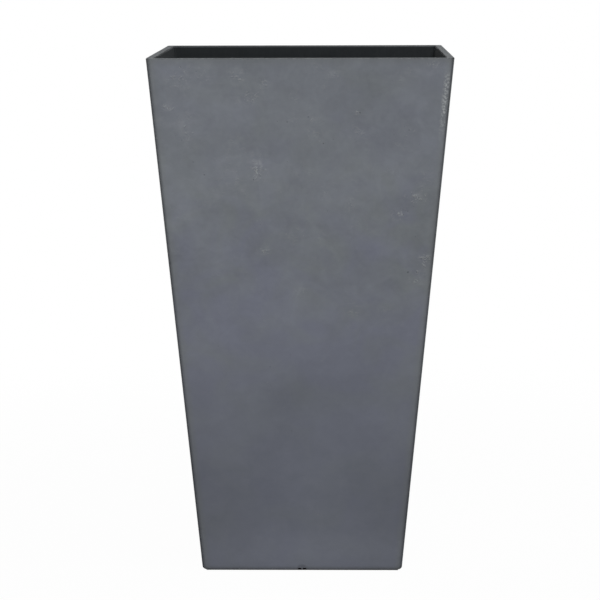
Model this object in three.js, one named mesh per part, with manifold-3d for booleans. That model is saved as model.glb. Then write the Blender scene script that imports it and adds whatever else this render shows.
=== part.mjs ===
// Tall square tapered planter: a grey moulded shell, a near-black lining inside it, a base panel
// on the shell's foot flange, a rubber drain plug and four rubber foot pads.
// Millimetres, +Z up. The origin is the centre of the base, on the ground under the foot pads.

import * as THREE from 'three';
import { mergeVertices } from 'three/addons/utils/BufferGeometryUtils.js';
import Module from 'manifold-3d';

const wasm = await Module();
wasm.setup();

// Whole planter
const TOP_WIDTH = 406;
const BASE_WIDTH = 276;
const HEIGHT = 711;
const UPRIGHT_EDGE_RADIUS = 6;
const BASE_EDGE_RADIUS = 6;
const FIT_GAP = 0.3;

// Shell
const RIM_WIDTH = 9.5;
const RIM_EDGE_RADIUS = 1;
const RIM_LIP_DEPTH = 1.8;
const SHELL_THICKNESS = 6.2;
const FLANGE_THICKNESS = 10;
const FLANGE_INNER_HALF = 106;
const INNER_EDGE_RADIUS = 3;

// Weep notches at the middle of each side
const WEEP_RADIUS = 2.8;
const WEEP_SPACING = 6.8;
const WEEP_DOME = { halfWidth: 7.2, depth: 2.2, halfHeight: 5.4, rise: 3.2 };
const CUT_MARGIN = 4;

// Base panel
const PANEL_THICKNESS = 8;

// Lining
const LINING_THICKNESS = RIM_WIDTH - SHELL_THICKNESS - FIT_GAP;
const FLOOR_FALL = 2;
const FLOOR_FLAT_HALF = 34;
const FLOOR_FILLET = 8;
const SPOUT_RADIUS = 19;
const DRAIN_TOP_RADIUS = 16.5;
const DRAIN_END_RADIUS = 14.5;

// Drain plug
const PLUG_FLANGE_RADIUS = 23;
const PLUG_FLANGE_THICKNESS = 3.5;
const PLUG_DOME = 1.5;
const PULL_LOOP = { width: 30, height: 26, thickness: 6, holeWidth: 16, holeHeight: 13, holeRise: 5 };

// Foot pads
const PAD_RADIUS = 9;
const PAD_THICKNESS = 3;
const PAD_STANDOFF = 0.5;
const PAD_OFFSET = 117;
const PAD_CORNERS = [
  { name: 'foot_pad_front_left', x: -1, y: -1 },
  { name: 'foot_pad_front_right', x: 1, y: -1 },
  { name: 'foot_pad_back_left', x: -1, y: 1 },
  { name: 'foot_pad_back_right', x: 1, y: 1 },
];

// Heights that follow from the stack, from the ground up
const FLANGE_TOP = PAD_STANDOFF + FLANGE_THICKNESS;
const PANEL_BOTTOM = FLANGE_TOP + FIT_GAP;
const PANEL_TOP = PANEL_BOTTOM + PANEL_THICKNESS;
const LINING_BOTTOM = PANEL_TOP + FIT_GAP;
const FLOOR_LOW = LINING_BOTTOM + LINING_THICKNESS;
const FLOOR_HIGH = FLOOR_LOW + FLOOR_FALL;
const LINING_TOP = HEIGHT - RIM_LIP_DEPTH - FIT_GAP;

const CORNER_STEPS = 6;
const ARC_STEPS = 5;
const ROUND_STEPS = 40;

// Colours are the photograph's; roughness and metalness suit each material.
const MATERIALS = {
  shellGrey: { color: 0x6a6e74, roughness: 0.82, metalness: 0 },
  liningBlack: { color: 0x242628, roughness: 0.75, metalness: 0 },
  panelGrey: { color: 0x4a4b4c, roughness: 0.9, metalness: 0 },
  rubberBlack: { color: 0x17181a, roughness: 0.7, metalness: 0 },
};

const planter = new THREE.Group();

function addPiece(name, materialName, geometry) {
  const material = new THREE.MeshStandardMaterial(MATERIALS[materialName]);
  const mesh = new THREE.Mesh(geometry, material);
  mesh.name = name;
  planter.add(mesh);
  return mesh;
}

// Half of the planter's outer width at a height.
function outerHalf(z) {
  return (BASE_WIDTH + (TOP_WIDTH - BASE_WIDTH) * (z / HEIGHT)) / 2;
}

// Points of a quarter arc in the profile plane, from one angle to another, in degrees.
function arc(centreHalf, centreZ, radius, fromDegrees, toDegrees, corner, steps = ARC_STEPS) {
  const points = [];
  for (let i = 0; i <= steps; i += 1) {
    const angle = THREE.MathUtils.degToRad(fromDegrees + ((toDegrees - fromDegrees) * i) / steps);
    points.push({
      half: centreHalf + radius * Math.cos(angle),
      z: centreZ + radius * Math.sin(angle),
      corner,
    });
  }
  return points;
}

// A profile carried round a square with rounded corners. The lathe gives the closed surface; each of
// its columns is then moved on to one point of a corner's quarter round, so that the flat sides lie
// between one corner's last column and the next corner's first.
function squareTurned(profile) {
  const columns = 4 * (CORNER_STEPS + 1);
  const outline = profile.map((p) => new THREE.Vector2(p.half, p.z));
  const geometry = new THREE.LatheGeometry(outline, columns);
  const position = geometry.attributes.position;
  for (let column = 0; column <= columns; column += 1) {
    const quarter = Math.floor((column % columns) / (CORNER_STEPS + 1));
    const share = ((column % columns) % (CORNER_STEPS + 1)) / CORNER_STEPS;
    const turn = (quarter * Math.PI) / 2;
    const angle = turn + (share * Math.PI) / 2;
    for (let row = 0; row < profile.length; row += 1) {
      const { half, z, corner } = profile[row];
      const inner = half - corner;
      const cornerX = inner * (Math.cos(turn) - Math.sin(turn));
      const cornerY = inner * (Math.sin(turn) + Math.cos(turn));
      const x = cornerX + corner * Math.cos(angle);
      const y = cornerY + corner * Math.sin(angle);
      position.setXYZ(column * profile.length + row, x, y, z);
    }
  }
  return geometry;
}

// A closed geometry as a solid that can be joined and cut.
function solid(geometry) {
  const bare = geometry.clone();
  bare.deleteAttribute('normal');
  bare.deleteAttribute('uv');
  const merged = mergeVertices(bare, 1e-4);
  const mesh = new wasm.Mesh({
    numProp: 3,
    vertProperties: new Float32Array(merged.attributes.position.array),
    triVerts: new Uint32Array(merged.index.array),
  });
  mesh.merge();
  return new wasm.Manifold(mesh);
}

function geometryOf(manifold) {
  const mesh = manifold.getMesh();
  const geometry = new THREE.BufferGeometry();
  geometry.setAttribute('position', new THREE.BufferAttribute(mesh.vertProperties, 3));
  geometry.setIndex(new THREE.BufferAttribute(mesh.triVerts, 1));
  geometry.computeVertexNormals();
  return geometry;
}

// A round solid of revolution about +Z, from [radius, height] points that start and end on the axis.
function roundTurned(points) {
  const outline = points.map(([radius, z]) => new THREE.Vector2(radius, z));
  return new THREE.LatheGeometry(outline, ROUND_STEPS).rotateX(Math.PI / 2);
}

// The four quarter turns that put a feature on each side of the square.
function onEachSide(makeFeature) {
  return [0, 1, 2, 3].map((quarter) => makeFeature().rotateZ((quarter * Math.PI) / 2));
}

// Shell: the profile runs round the bottom edge, up the outside, over the rim, down under its inner
// lip, down the inside, in along the flange and back underneath.
function shellProfile() {
  const edge = UPRIGHT_EDGE_RADIUS;
  const inside = INNER_EDGE_RADIUS;
  const lipBottom = HEIGHT - RIM_LIP_DEPTH;
  const baseRoundZ = PAD_STANDOFF + BASE_EDGE_RADIUS;
  const baseRoundHalf = outerHalf(baseRoundZ) - BASE_EDGE_RADIUS;
  const rimRoundZ = HEIGHT - RIM_EDGE_RADIUS;
  const rimOuterHalf = outerHalf(HEIGHT);
  const rimInnerHalf = rimOuterHalf - RIM_WIDTH;
  const loop = [
    ...arc(baseRoundHalf, baseRoundZ, BASE_EDGE_RADIUS, -90, 0, edge),
    ...arc(rimOuterHalf - RIM_EDGE_RADIUS, rimRoundZ, RIM_EDGE_RADIUS, 0, 90, edge, 2),
    ...arc(rimInnerHalf + RIM_EDGE_RADIUS, rimRoundZ, RIM_EDGE_RADIUS, 90, 180, inside, 2),
    { half: outerHalf(lipBottom) - RIM_WIDTH, z: lipBottom, corner: inside },
    { half: outerHalf(lipBottom) - SHELL_THICKNESS, z: lipBottom, corner: inside },
    { half: outerHalf(FLANGE_TOP) - SHELL_THICKNESS, z: FLANGE_TOP, corner: inside },
    { half: FLANGE_INNER_HALF, z: FLANGE_TOP, corner: inside },
    { half: FLANGE_INNER_HALF, z: PAD_STANDOFF, corner: inside },
  ];
  loop.push(loop[0]);
  return loop;
}

// One of the two round-topped slots that run under the foot flange, from the outside to the recess.
function weepNotch(side) {
  const outerEnd = BASE_WIDTH / 2 + CUT_MARGIN;
  const innerEnd = FLANGE_INNER_HALF - CUT_MARGIN;
  const slot = new THREE.CylinderGeometry(WEEP_RADIUS, WEEP_RADIUS, outerEnd - innerEnd, 16);
  return slot.translate((side * WEEP_SPACING) / 2, -(outerEnd + innerEnd) / 2, PAD_STANDOFF);
}

// The shallow dome pressed into the wall above the two slots.
function weepDome() {
  const { halfWidth, depth, halfHeight, rise } = WEEP_DOME;
  const dome = new THREE.SphereGeometry(1, 20, 12).scale(halfWidth, depth, halfHeight);
  return dome.translate(0, -outerHalf(rise) + depth / 2, rise + PAD_STANDOFF);
}

// The round pocket under a corner that a foot pad sits in.
function padPocket(x, y) {
  const top = PAD_THICKNESS + FIT_GAP;
  const radius = PAD_RADIUS + FIT_GAP;
  const pocket = new THREE.CylinderGeometry(radius, radius, 2 * top, ROUND_STEPS);
  return pocket.rotateX(Math.PI / 2).translate(x * PAD_OFFSET, y * PAD_OFFSET, 0);
}

function makeShell() {
  let shell = solid(squareTurned(shellProfile()));
  const cuts = [
    ...onEachSide(() => weepNotch(-1)),
    ...onEachSide(() => weepNotch(1)),
    ...onEachSide(weepDome),
    ...PAD_CORNERS.map(({ x, y }) => padPocket(x, y)),
  ];
  for (const cut of cuts) {
    shell = shell.subtract(solid(cut));
  }
  return geometryOf(shell);
}

// Base panel: a plate that lies on the foot flange and follows the walls' slope, with the spout's hole.
function makeBasePanel() {
  const gap = SHELL_THICKNESS + FIT_GAP;
  const plate = squareTurned([
    { half: 0, z: PANEL_BOTTOM, corner: 0 },
    { half: outerHalf(PANEL_BOTTOM) - gap, z: PANEL_BOTTOM, corner: INNER_EDGE_RADIUS },
    { half: outerHalf(PANEL_TOP) - gap, z: PANEL_TOP, corner: INNER_EDGE_RADIUS },
    { half: 0, z: PANEL_TOP, corner: 0 },
  ]);
  const holeRadius = SPOUT_RADIUS + FIT_GAP;
  const hole = new THREE.CylinderGeometry(holeRadius, holeRadius, 3 * PANEL_THICKNESS, ROUND_STEPS);
  hole.rotateX(Math.PI / 2).translate(0, 0, PANEL_BOTTOM);
  return geometryOf(solid(plate).subtract(solid(hole)));
}

// Lining: a thin tub whose floor falls to a flat round the drain, with a spout through the base panel.
function liningProfile() {
  const corner = INNER_EDGE_RADIUS;
  const outside = SHELL_THICKNESS + FIT_GAP;
  const filletZ = FLOOR_HIGH + FLOOR_FILLET;
  const filletHalf = outerHalf(filletZ) - RIM_WIDTH - FLOOR_FILLET;
  return [
    { half: 0, z: LINING_BOTTOM, corner: 0 },
    { half: outerHalf(LINING_BOTTOM) - outside, z: LINING_BOTTOM, corner },
    { half: outerHalf(LINING_TOP) - outside, z: LINING_TOP, corner },
    { half: outerHalf(LINING_TOP) - RIM_WIDTH, z: LINING_TOP, corner },
    ...arc(filletHalf, filletZ, FLOOR_FILLET, 0, -90, corner),
    { half: FLOOR_FLAT_HALF, z: FLOOR_LOW, corner },
    { half: 0, z: FLOOR_LOW, corner: 0 },
  ];
}

function makeLining() {
  const spout = roundTurned([
    [0, PANEL_BOTTOM],
    [SPOUT_RADIUS, PANEL_BOTTOM],
    [SPOUT_RADIUS, FLOOR_LOW - LINING_THICKNESS / 2],
    [0, FLOOR_LOW - LINING_THICKNESS / 2],
  ]);
  const length = FLOOR_LOW - PANEL_BOTTOM;
  const slope = (DRAIN_TOP_RADIUS - DRAIN_END_RADIUS) / length;
  const bore = roundTurned([
    [0, PANEL_BOTTOM - length],
    [DRAIN_END_RADIUS - slope * length, PANEL_BOTTOM - length],
    [DRAIN_TOP_RADIUS + slope * length, FLOOR_LOW + length],
    [0, FLOOR_LOW + length],
  ]);
  const tub = solid(squareTurned(liningProfile()));
  return geometryOf(tub.add(solid(spout)).subtract(solid(bore)));
}

// Plug: a tapered stopper whose flange lies on the lining's floor, with a loop to pull it out by.
function stopper() {
  const seat = FLOOR_LOW + FIT_GAP;
  const length = FLOOR_LOW - PANEL_BOTTOM;
  const topRadius = DRAIN_TOP_RADIUS - FIT_GAP;
  const endRadius = DRAIN_END_RADIUS - FIT_GAP;
  const flangeTop = seat + PLUG_FLANGE_THICKNESS;
  return roundTurned([
    [0, seat - length],
    [endRadius - 2, seat - length],
    [endRadius, seat - length + 2],
    [topRadius, seat],
    [PLUG_FLANGE_RADIUS - 0.6, seat],
    [PLUG_FLANGE_RADIUS, seat + 0.6],
    [PLUG_FLANGE_RADIUS, flangeTop - PLUG_DOME],
    [PLUG_FLANGE_RADIUS - PLUG_DOME, flangeTop],
    [0, flangeTop],
  ]);
}

// The loop is an arch with a finger hole of the same shape, drawn upright and then thickened.
function pullLoop() {
  const { width, height, thickness, holeWidth, holeHeight, holeRise } = PULL_LOOP;
  const half = width / 2;
  const outline = new THREE.Shape();
  outline.moveTo(-half, -1);
  outline.lineTo(half, -1);
  outline.lineTo(half, height - half);
  outline.absarc(0, height - half, half, 0, Math.PI);
  outline.closePath();
  const hole = new THREE.Path();
  const holeHalf = holeWidth / 2;
  hole.moveTo(-holeHalf, holeRise);
  hole.lineTo(holeHalf, holeRise);
  hole.lineTo(holeHalf, holeRise + holeHeight - holeHalf);
  hole.absarc(0, holeRise + holeHeight - holeHalf, holeHalf, 0, Math.PI);
  hole.closePath();
  outline.holes.push(hole);
  const bevel = 0.8;
  const loop = new THREE.ExtrudeGeometry(outline, {
    depth: thickness - 2 * bevel,
    bevelThickness: bevel,
    bevelSize: bevel,
    bevelOffset: -bevel,
    bevelSegments: 2,
    curveSegments: 16,
  });
  loop.translate(0, 0, -(thickness - 2 * bevel) / 2).rotateX(Math.PI / 2);
  return loop.translate(0, 0, FLOOR_LOW + FIT_GAP + PLUG_FLANGE_THICKNESS);
}

function makePlug() {
  return geometryOf(solid(stopper()).add(solid(pullLoop())));
}

// Foot pad: a thin disc that sits in a pocket under a corner, with a small chamfer where it stands.
function makeFootPad() {
  return roundTurned([
    [0, 0],
    [PAD_RADIUS - 0.5, 0],
    [PAD_RADIUS, 0.5],
    [PAD_RADIUS, PAD_THICKNESS],
    [0, PAD_THICKNESS],
  ]);
}

addPiece('outer_shell', 'shellGrey', makeShell());
addPiece('inner_lining', 'liningBlack', makeLining());
addPiece('base_panel', 'panelGrey', makeBasePanel());
addPiece('drain_plug', 'rubberBlack', makePlug());
for (const { name, x, y } of PAD_CORNERS) {
  addPiece(name, 'rubberBlack', makeFootPad()).position.set(x * PAD_OFFSET, y * PAD_OFFSET, 0);
}

export default planter;
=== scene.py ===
"""Tall square planter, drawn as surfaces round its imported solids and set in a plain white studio.

Metres, +Z up, the planter's front towards -Y. The origin is the centre of the base, on the ground.
"""
import math

import bpy
import numpy as np
from bpy.props import FloatProperty, FloatVectorProperty, IntProperty, PointerProperty
from mathutils import Matrix, Vector


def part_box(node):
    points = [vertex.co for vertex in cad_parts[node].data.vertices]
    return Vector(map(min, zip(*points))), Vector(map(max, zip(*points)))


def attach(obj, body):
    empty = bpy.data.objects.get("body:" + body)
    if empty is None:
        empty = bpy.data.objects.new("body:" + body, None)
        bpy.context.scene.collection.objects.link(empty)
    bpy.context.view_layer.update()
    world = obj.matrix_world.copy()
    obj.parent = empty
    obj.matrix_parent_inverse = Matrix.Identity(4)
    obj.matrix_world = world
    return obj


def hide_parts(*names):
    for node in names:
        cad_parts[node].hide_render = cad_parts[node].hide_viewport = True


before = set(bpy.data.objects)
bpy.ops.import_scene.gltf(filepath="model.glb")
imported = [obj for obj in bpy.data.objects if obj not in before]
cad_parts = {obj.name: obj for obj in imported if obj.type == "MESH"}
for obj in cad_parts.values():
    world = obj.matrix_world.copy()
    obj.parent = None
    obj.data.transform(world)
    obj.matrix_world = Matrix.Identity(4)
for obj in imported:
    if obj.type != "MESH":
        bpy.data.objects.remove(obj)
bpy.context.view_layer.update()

bl_info = {
    "name": "Tall Planter",
    "version": (1, 0, 0),
    "blender": (4, 5, 0),
    "location": "3D View > Sidebar > Planter",
    "description": "Builds a tall tapered planter with its lining, drain plug and foot pads",
    "category": "Add Mesh",
}

MM = 0.001
FIT_GAP = 0.3 * MM
SHELL_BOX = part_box("outer_shell")
LINING_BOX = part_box("inner_lining")
PANEL_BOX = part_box("base_panel")
PLUG_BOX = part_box("drain_plug")
PAD_NODES = ["foot_pad_front_left", "foot_pad_front_right", "foot_pad_back_left", "foot_pad_back_right"]

# Columns round an upright corner, cells across a flat side, and the distance between the wall's rows.
CORNER_STEPS = 10
FLAT_CELLS = 56
ROW_SPACING = 6 * MM


# Sizes, finishes and stage that a user would change

class PlanterSizes(bpy.types.PropertyGroup):
    """Sizes of the planter.

    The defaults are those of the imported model, apart from sharper rim edges and a slightly deeper lip.
    """

    top_width: FloatProperty(
        name="Top width", description="Outer width across the rim",
        default=2 * SHELL_BOX[1].x, min=0.1, unit="LENGTH")
    base_width: FloatProperty(
        name="Base width", description="Outer width that the walls run down to at the ground",
        default=276 * MM, min=0.05, unit="LENGTH")
    height: FloatProperty(
        name="Height", description="Height of the rim above the ground",
        default=SHELL_BOX[1].z, min=0.1, unit="LENGTH")
    edge_radius: FloatProperty(
        name="Edge radius", description="Rounding of the upright edges and of the bottom edge",
        default=6 * MM, min=0.001, unit="LENGTH")
    rim_width: FloatProperty(
        name="Rim width", description="Width of the flat rim",
        default=9.5 * MM, min=0.004, unit="LENGTH")
    rim_rounding: FloatProperty(
        name="Rim rounding", description="Radius of the rim's two edges",
        default=0.45 * MM, min=0.0002, unit="LENGTH")
    lip_depth: FloatProperty(
        name="Lip depth", description="How far the grey finish turns down inside the rim",
        default=2.2 * MM, min=0.0005, unit="LENGTH")
    wall: FloatProperty(
        name="Wall", description="Thickness of the moulded wall without its lining",
        default=6.2 * MM, min=0.002, unit="LENGTH")
    flange_inner_half: FloatProperty(
        name="Foot flange opening", description="Half of the opening inside the foot flange",
        default=106 * MM, min=0.02, unit="LENGTH")
    inner_corner: FloatProperty(
        name="Inner corner", description="Rounding of the corners inside",
        default=3 * MM, min=0.0005, unit="LENGTH")
    pinholes: IntProperty(
        name="Pinhole seed", description="Seed that the pinholes are scattered with",
        default=7, min=0)


class PlanterFinish(bpy.types.PropertyGroup):
    """Colours of the planter, as linear values."""

    cool_grey: FloatVectorProperty(
        name="Cool grey", description="Bluish patches of the cast face",
        default=(0.1445, 0.1535, 0.188), size=3, min=0, max=1, subtype="COLOR")
    warm_grey: FloatVectorProperty(
        name="Warmer grey", description="Less bluish patches of the cast face",
        default=(0.148, 0.160, 0.173), size=3, min=0, max=1, subtype="COLOR")
    dusty_grey: FloatVectorProperty(
        name="Dusty grey", description="Neutral dust on the rim and just below it",
        default=(0.147, 0.156, 0.163), size=3, min=0, max=1, subtype="COLOR")
    # The chalk colour also paints the creases' highlights.
    chalk: FloatVectorProperty(
        name="Chalk", description="Lime bloom round pinholes and along worn edges",
        default=(0.36, 0.37, 0.37), size=3, min=0, max=1, subtype="COLOR")
    # The pinhole colour also paints shade: inside the pinholes, in the dome above the weep slots, and under
    # the creases; it also darkens pores and pits on the rim.
    pinhole: FloatVectorProperty(
        name="Pinhole", description="Inside of the pinholes",
        default=(0.045, 0.048, 0.053), size=3, min=0, max=1, subtype="COLOR")
    lining: FloatVectorProperty(
        name="Lining", description="Near-black coat of the lining",
        default=(0.036, 0.040, 0.043), size=3, min=0, max=1, subtype="COLOR")
    soil: FloatVectorProperty(
        name="Soil", description="Dust that lies low on the lining",
        default=(0.10, 0.098, 0.092), size=3, min=0, max=1, subtype="COLOR")
    laminate: FloatVectorProperty(
        name="Laminate", description="Bare glass laminate of the base panel",
        default=(0.075, 0.077, 0.078), size=3, min=0, max=1, subtype="COLOR")
    rubber: FloatVectorProperty(
        name="Rubber", description="Drain plug and foot pads",
        default=(0.016, 0.016, 0.017), size=3, min=0, max=1, subtype="COLOR")


class PlanterStage(bpy.types.PropertyGroup):
    """Camera and lights."""

    camera_place: FloatVectorProperty(
        name="Camera place", description="Where the camera stands",
        default=(0.05185, -3.20994, 0.8528), size=3, subtype="TRANSLATION")
    camera_turn: FloatVectorProperty(
        name="Camera turn", description="Pitch, roll and yaw from looking level along +Y",
        default=(math.radians(-8.745), math.radians(0.163), math.radians(1.002)), size=3,
        subtype="EULER")
    lens: FloatProperty(
        name="Lens", description="Focal length on a 36 mm sensor, in millimetres",
        default=136.98, min=10)
    key_power: FloatProperty(
        name="Key light", description="Power of the softbox in front",
        default=10.8, min=0, unit="POWER")
    top_power: FloatProperty(
        name="Overhead light", description="Power of the softbox above, which lights the rim",
        default=25, min=0, unit="POWER")
    fill_power: FloatProperty(
        name="Low fill", description="Power of the small softbox near the floor in front",
        default=0.15, min=0, unit="POWER")
    left_power: FloatProperty(
        name="Rear left light", description="Power of the softbox behind the left side",
        default=45, min=0, unit="POWER")
    right_power: FloatProperty(
        name="Rear right light", description="Power of the softbox behind the right side",
        default=60, min=0, unit="POWER")
    rear_power: FloatProperty(
        name="Rear overhead light",
        description="Power of the softbox that lights the inside of the front wall",
        default=8, min=0, unit="POWER")
    room_light: FloatProperty(
        name="Room light", description="Even light from all round",
        default=0.03, min=0)
    floor_grey: FloatProperty(
        name="Floor", description="Paleness of the floor",
        default=0.5, min=0, max=1)


# Shader nodes

class Wire:
    """An output of a node. Sums and products of wires and plain numbers add Math nodes."""

    def __init__(self, board, socket):
        self.board = board
        self.socket = socket

    def __add__(self, other):
        return self.board.maths("ADD", self, other)

    def __sub__(self, other):
        return self.board.maths("SUBTRACT", self, other)

    def __rsub__(self, other):
        return self.board.maths("SUBTRACT", other, self)

    def __mul__(self, other):
        return self.board.maths("MULTIPLY", self, other)

    def __truediv__(self, other):
        return self.board.maths("DIVIDE", self, other)

    def __abs__(self):
        return self.board.maths("ABSOLUTE", self)

    __radd__ = __add__
    __rmul__ = __mul__

    def clamped(self):
        """Held between 0 and 1."""
        return self.board.node("ShaderNodeClamp", {}, {"Value": self})

    def rising(self, low, high):
        """0 below low, 1 above high, and a smooth rise between them."""
        return self.board.node(
            "ShaderNodeMapRange", {"interpolation_type": "SMOOTHSTEP"},
            {"Value": self, "From Min": low, "From Max": high})


class Board:
    """The nodes of one material or of the world."""

    def __init__(self, tree):
        self.tree = tree
        tree.nodes.clear()

    def node(self, kind, settings, inputs, output=0):
        """Adds a node. Its settings come first, ramp stops included, then its sockets' values or links."""
        made = self.tree.nodes.new(kind)
        for name, value in settings.items():
            setattr(made, name, value)
        for name, value in inputs.items():
            if isinstance(value, Wire):
                self.tree.links.new(value.socket, made.inputs[name])
            else:
                made.inputs[name].default_value = value
        return Wire(self, made.outputs[output]) if made.outputs else None

    def maths(self, operation, *values):
        """A Math node on wires and numbers."""
        return self.node("ShaderNodeMath", {"operation": operation}, dict(enumerate(values)))

    def object_place(self):
        return self.node("ShaderNodeTexCoord", {}, {}, "Object")

    def stretched(self, place, scale, turn=(0, 0, 0)):
        """A place scaled and turned, for a pattern that is drawn out or lies askew."""
        return self.node("ShaderNodeMapping", {}, {"Vector": place, "Scale": scale, "Rotation": turn})

    def moved(self, place, step):
        """A place shifted by a step, for a pattern's copy that is shifted the other way."""
        return self.node("ShaderNodeMapping", {}, {"Vector": place, "Location": step})

    def split(self, vector):
        """The three coordinates of a vector."""
        made = self.node("ShaderNodeSeparateXYZ", {}, {"Vector": vector}).socket.node
        return [Wire(self, made.outputs[axis]) for axis in "XYZ"]

    def noise(self, place, scale, detail=2.0, roughness=0.5, distortion=0.0):
        """Noise with so many lumps to the metre, from 0 to 1 with a middle value of 0.5."""
        return self.node("ShaderNodeTexNoise", {}, {
            "Vector": place, "Scale": scale, "Detail": detail,
            "Roughness": roughness, "Distortion": distortion})

    def blend(self, share, first, second):
        """A colour between two colours."""
        return self.node(
            "ShaderNodeMix", {"data_type": "RGBA"}, {0: share, 6: first, 7: second}, 2)

    def brighter(self, colour, factor):
        """A colour times a number."""
        return self.node(
            "ShaderNodeVectorMath", {"operation": "SCALE"}, {0: colour, "Scale": factor})

    def attribute(self, name):
        return self.node("ShaderNodeAttribute", {"attribute_name": name}, {}, "Fac")

    def bump(self, height, depth, strength=1.0):
        """A normal from heights of 0 to 1, where 1 stands depth metres proud."""
        return self.node("ShaderNodeBump", {}, {
            "Height": height, "Distance": depth, "Strength": strength})

    def surface(self, shader):
        self.node("ShaderNodeOutputMaterial", {}, {"Surface": shader})


def new_material(name):
    """A material with an empty board."""
    material = bpy.data.materials.new(name)
    material.use_nodes = True
    return material, Board(material.node_tree)


def rgba(colour):
    return (*colour, 1.0)


def speckle(board, place, scale, share, radius):
    """Round specks in a share of a Voronoi pattern's cells, with radii of 0.3 to 1 of radius cells."""
    settings = {"feature": "F1"}
    inputs = {"Vector": place, "Scale": scale}
    distance = board.node("ShaderNodeTexVoronoi", settings, inputs, "Distance")
    random_colour = board.node("ShaderNodeTexVoronoi", settings, inputs, "Color")
    chosen = board.split(random_colour)
    size = (chosen[1] * 0.7 + 0.3) * radius
    inside = (1 - (distance / size)).rising(0.0, 0.6)
    return inside * board.maths("GREATER_THAN", chosen[0], 1 - share)


def creases(board, place):
    """Short curved strokes: where one noise is near its middle value and another is high."""
    curved = board.noise(place, 95.0, distortion=1.0)
    ridge = 1 - abs(curved - 0.5).rising(0.01, 0.05)
    return ridge * board.noise(place, 130.0).rising(0.52, 0.62)


class ShellSpot:
    """Where a point of the shell lies, as wires.

    to_edge is its distance from the nearest upright edge, and behind is how far it is set back from the
    outer face. foot, rim and rim_top rise from 0 to 1 at the bottom edge, below the rim and on the rim.
    front_right is 1 along the front's right edge.
    """

    def __init__(self, board, sizes):
        self.place = board.object_place()
        self.x, self.y, self.z = board.split(self.place)
        slope = (sizes.top_width - sizes.base_width) / 2 / sizes.height
        half = self.z * slope + sizes.base_width / 2
        self.to_edge = half - board.maths("MINIMUM", abs(self.x), abs(self.y))
        self.behind = half - board.maths("MAXIMUM", abs(self.x), abs(self.y))
        self.foot = 1 - self.z.rising(1 * MM, 9 * MM)
        self.rim = self.z.rising(sizes.height - 12 * MM, sizes.height)
        self.rim_top = self.z.rising(sizes.height - 2.2 * MM, sizes.height - 0.4 * MM)
        self.front_right = self.x.rising(0.150, 0.190) * (1 - self.y.rising(-0.19, -0.18))


def cast_colour(board, spot, finish):
    """Two greys in patches, the warmer one more in the upper half, and neutral dust near all the edges."""
    swing = spot.z.rising(0.20, 0.34) * (1 - spot.z.rising(0.46, 0.60)) * 2.2 + 1.0
    drawn_out = board.stretched(spot.place, (1.0, 1.0, 1.2))
    hue = (board.noise(drawn_out, 14.0, distortion=0.8) - 0.5) * swing
    hue = (hue + spot.z.rising(0.30, 0.52) * 0.52 + 0.22).clamped()
    colour = board.blend(hue, rgba(finish.cool_grey), rgba(finish.warm_grey))
    near_edge = 1 - spot.to_edge.rising(5 * MM, 14 * MM)
    dusted = (spot.rim * 0.6 + spot.rim_top * 0.3 + spot.foot * 0.5 + near_edge * 0.55).clamped()
    return board.blend(dusted, colour, rgba(finish.dusty_grey))


def shade_and_darkening(spot, sizes):
    """Factor of 1 on the plain face, and less where it is darker.

    Painted shade lies along the upright edges, on the bottom edge, more and more towards the bottom, on the
    rim's side arms, and under the rim's inner edge towards the front. The face is also darker on the rim
    and just below it, along the front's right edge near the top, and in a band low down.
    """
    # Painted shade along the upright edges, where their rounding turns from the light, and a narrower band
    # of it right at the edge.
    upright = 1 - spot.to_edge.rising(0.5 * MM, 7 * MM)
    shaded_fold = 1 - spot.to_edge.rising(1.5 * MM, 3.5 * MM)
    # Darker along the front's right edge near the top.
    right_edge_darkening = spot.front_right * (1 - spot.to_edge.rising(1 * MM, 5 * MM)) * spot.z.rising(0.56, 0.64)
    # Painted shade on the upright edges and on the bottom edge; also darker on the rim and along the
    # front's right edge.
    edge_shade_and_rim = (1.0 - upright * 0.22 - shaded_fold * 0.16 - spot.foot * 0.22 - spot.rim * 0.06
             - spot.rim_top * 0.09 - right_edge_darkening * 0.16)
    # Painted shade: the face darker towards the bottom, where the light from above falls off.
    lower = 1 - spot.z.rising(0.10, 0.40)
    # Darker in a band from a few centimetres to about 20 cm up.
    low_band = spot.z.rising(0.02, 0.08) * (1 - spot.z.rising(0.10, 0.24))
    # Painted shade on the rim's two side arms.
    shaded_side_arms = spot.rim_top * (abs(spot.x) - abs(spot.y)).rising(0, 10 * MM)
    # Painted shade under the rim's inner edge, strongest at the front.
    lip = spot.behind.rising(sizes.rim_width - 0.6 * MM, sizes.rim_width - 0.1 * MM)
    lip = lip * spot.z.rising(sizes.height - 5 * MM, sizes.height - 4 * MM)
    shaded_lip = lip * (1 - spot.y.rising(-0.10, 0.195))
    return (edge_shade_and_rim * (1 - lower * 0.19) * (1 - low_band * 0.115) * (1 - shaded_side_arms * 0.12)
            * (1 - shaded_lip * 0.62))


def worn_edges(board, spot, gritty):
    """Chalk on the upright edges, on the rim, and in a strip beside the front's right edge near the top."""
    patches = board.noise(spot.place, 55.0, detail=4.0, roughness=0.65).rising(0.52, 0.72)
    worn = (1 - spot.to_edge.rising(1 * MM, 7 * MM)) * patches * gritty.rising(0.42, 0.62)
    strip = spot.to_edge.rising(2 * MM, 6 * MM) * (1 - spot.to_edge.rising(8 * MM, 13 * MM))
    strip = strip * spot.z.rising(0.600, 0.640) * (1 - spot.z.rising(0.676, 0.700))
    strip = strip * spot.front_right * gritty.rising(0.45, 0.60)
    rim_worn = spot.rim_top * (gritty.rising(0.48, 0.60) * 0.13 + patches * 0.08)
    return worn * 0.22 + strip * 0.65 + rim_worn


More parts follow.
